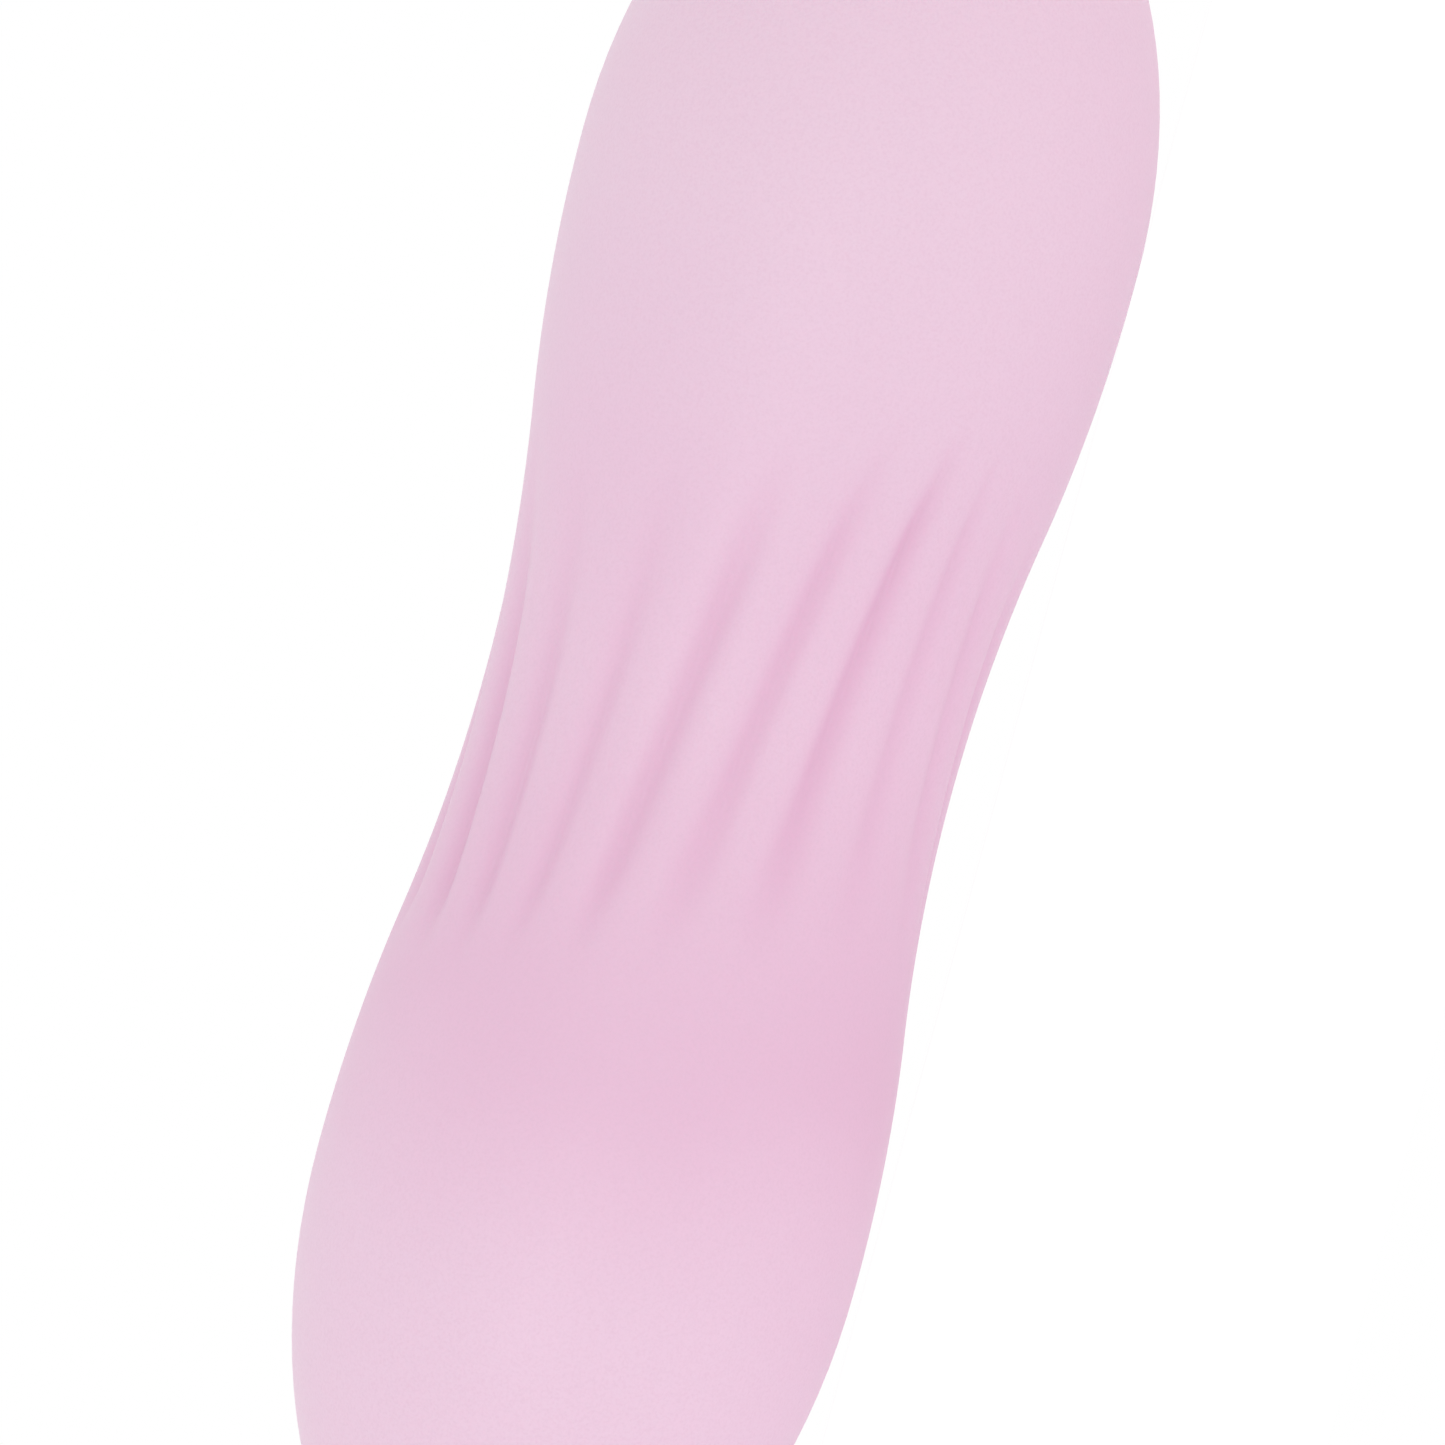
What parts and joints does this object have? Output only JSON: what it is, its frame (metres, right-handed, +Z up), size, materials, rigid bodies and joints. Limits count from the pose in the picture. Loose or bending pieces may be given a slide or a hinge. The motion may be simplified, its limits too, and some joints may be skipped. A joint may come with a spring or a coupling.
{
  "type": "pull buoy",
  "caption": "Hourglass foam swimming float with two rounded lobes, a narrow waist and soft slanting flutes pressed round it.",
  "frame": {"origin": "centre of the bounding box at the floor the buoy lies on", "axes": "+X along the buoy, towards its larger lobe; +Z up, across its thinnest way; -Y towards the narrow face shown as the front"},
  "size_m": [0.24, 0.1164, 0.0704],
  "materials": {
    "skin": "matt soft moulded foam skin, soft pink",
    "foam": "off-white closed-cell foam"
  },
  "bodies": {
    "root": {"front_skin": "skin", "back_skin": "skin", "lower_foam_sheet": "foam", "middle_foam_sheet": "foam", "upper_foam_sheet": "foam"}
  },
  "joints": []
}
